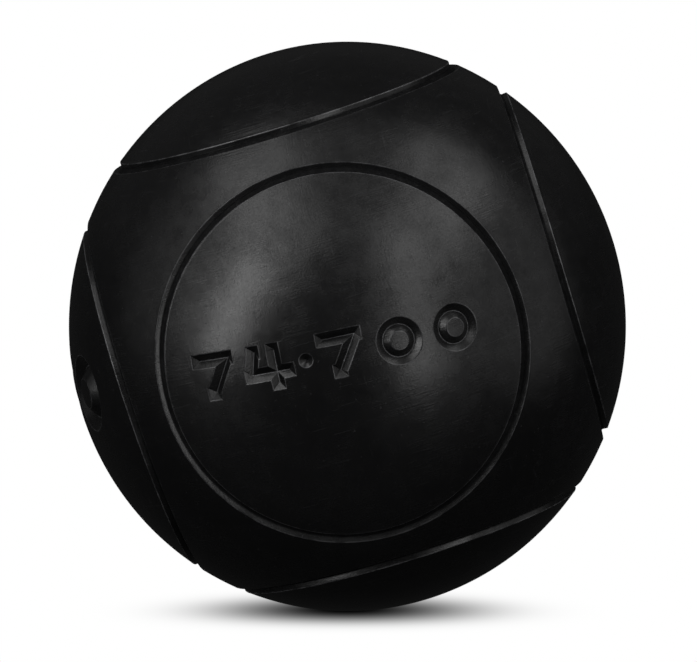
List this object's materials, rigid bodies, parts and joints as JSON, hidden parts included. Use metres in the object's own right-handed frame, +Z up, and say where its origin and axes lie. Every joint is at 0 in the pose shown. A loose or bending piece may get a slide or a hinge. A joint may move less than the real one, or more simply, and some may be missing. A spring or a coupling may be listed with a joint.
{
  "type": "steel lawn bowl",
  "caption": "Hollow steel throwing bowl of two welded half shells, with six ring grooves, cut numerals and round side marks, coated black.",
  "frame": {"origin": "centre of the ball", "axes": "+Z up as the ball lies, -Y towards the viewer of the marked face, +X to that viewer's right"},
  "size_m": [0.074, 0.074, 0.074],
  "materials": {
    "coated_steel_front": "satin black coat over fine turning and brushing marks",
    "coated_steel_rear": "satin black coat over fine turning and brushing marks",
    "coated_weld": "satin black coat over a weld turned flush"
  },
  "bodies": {
    "root": {"front_half_shell": "coated_steel_front", "rear_half_shell": "coated_steel_rear", "weld_bead": "coated_weld"}
  },
  "joints": []
}
